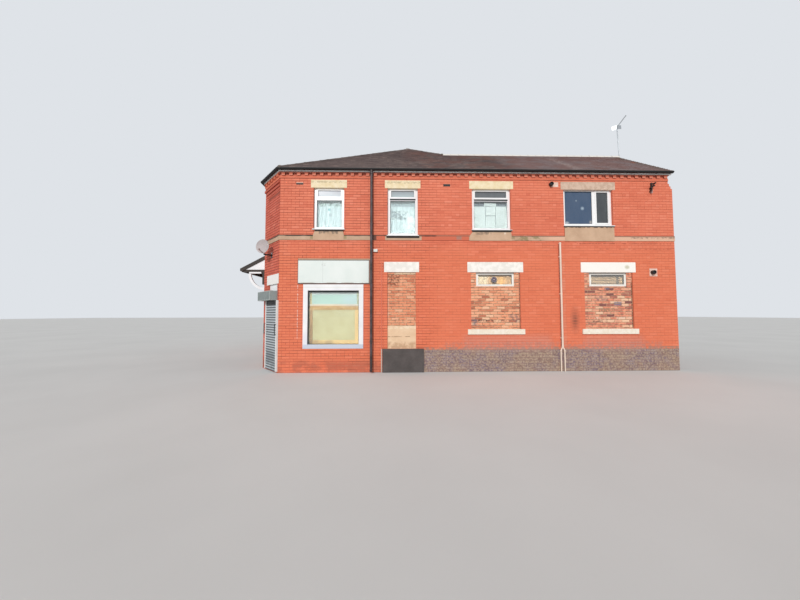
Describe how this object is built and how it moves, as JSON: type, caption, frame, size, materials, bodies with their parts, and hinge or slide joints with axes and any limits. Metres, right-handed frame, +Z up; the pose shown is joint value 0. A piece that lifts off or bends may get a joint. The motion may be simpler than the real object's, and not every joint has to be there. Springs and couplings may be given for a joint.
{
  "type": "corner shop building",
  "caption": "Two-storey corner shop in painted brick with a canted shuttered corner, blocked ground windows and a hipped tiled roof with a lower wing.",
  "frame": {"origin": "foot of the arris between the long side elevation and the canted corner, at the lowest ground level", "axes": "+X along the long side elevation away from the corner, +Y into the building, +Z up"},
  "size_m": [14.1454, 8.8129, 9.2001],
  "materials": {
    "aerial_metal": "bare",
    "black_flue": "black",
    "black_gutter": "black",
    "black_steel": "black paint",
    "brown_pipe": "dark paint",
    "buff_lintel": "buff masonry paint on stone",
    "buff_render": "buff masonry paint on render",
    "canopy_slate": "dark slates",
    "concrete": "grey paint on concrete",
    "dark_timber": "dark paint",
    "dish_metal": "grey paint",
    "display_panel": "plain printed board",
    "fan_plastic": "grey",
    "floor_boards": "bare boards",
    "floor_slab": "concrete",
    "galvanised_steel": "galvanised",
    "old_brick": "mottled brick under worn paint",
    "painted_brick": "orange-red masonry paint on brick",
    "party_brick": "bare red brick",
    "ridge_mortar": "grey half-round tiles bedded in mortar",
    "roof_tiles": "weathered dark tiles",
    "sign_panel": "white coated sheet",
    "wall_metal": "grey",
    "white_board": "white paint",
    "white_frame": "white",
    "white_lintel": "cream masonry paint on stone",
    "white_pipe": "white",
    "white_steel": "white paint",
    "white_surround": "white gloss paint",
    "white_timber": "white paint",
    "window_glass": "clear"
  },
  "bodies": {
    "root": {"front_wall": "painted_brick", "corner_wall": "painted_brick", "street_wall": "painted_brick", "party_wall": "party_brick", "yard_wall": "party_brick", "wing_rear_wall": "party_brick", "gable_wall": "party_brick", "ground_floor": "floor_slab", "upper_floor": "floor_boards", "front_roof_slope": "roof_tiles", "corner_roof_slope": "roof_tiles", "street_roof_slope": "roof_tiles", "yard_roof_slope": "roof_tiles", "wing_rear_roof_slope": "roof_tiles", "ridge_tiles": "ridge_mortar", "eaves_board": "white_board", "gutter": "black_gutter", "dentil_course": "painted_brick", "string_course": "buff_render", "corner_corbels": "painted_brick", "upper_lintels": "buff_lintel", "ground_lintels": "white_lintel", "window_sills": "white_frame", "blocked_window_sills": "white_lintel", "window_aprons": "buff_render", "upper_windows_front": "white_frame", "shop_window_frames": "white_surround", "front_glass": "window_glass", "display_board": "display_panel", "sign_board": "sign_panel", "sign_backing": "dark_timber", "door_infill": "old_brick", "door_panel": "buff_render", "door_step": "concrete", "blocked_windows_infill": "old_brick", "vent_windows": "white_frame", "window_fan": "fan_plastic", "corner_fanlight": "white_frame", "shutter_box": "galvanised_steel", "shutter_guides": "white_steel", "shutter_curtain": "galvanised_steel", "shutter_handles": "black_steel", "rear_windows": "white_frame", "rear_glass": "window_glass", "canopy_roof": "canopy_slate", "canopy_beam": "dark_timber", "canopy_boards": "white_timber", "canopy_brackets": "white_timber", "downpipe": "brown_pipe", "waste_pipe": "white_pipe", "wall_fittings": "wall_metal", "flue_terminals": "black_flue", "satellite_dish": "dish_metal", "tv_aerial": "aerial_metal"}
  },
  "joints": []
}
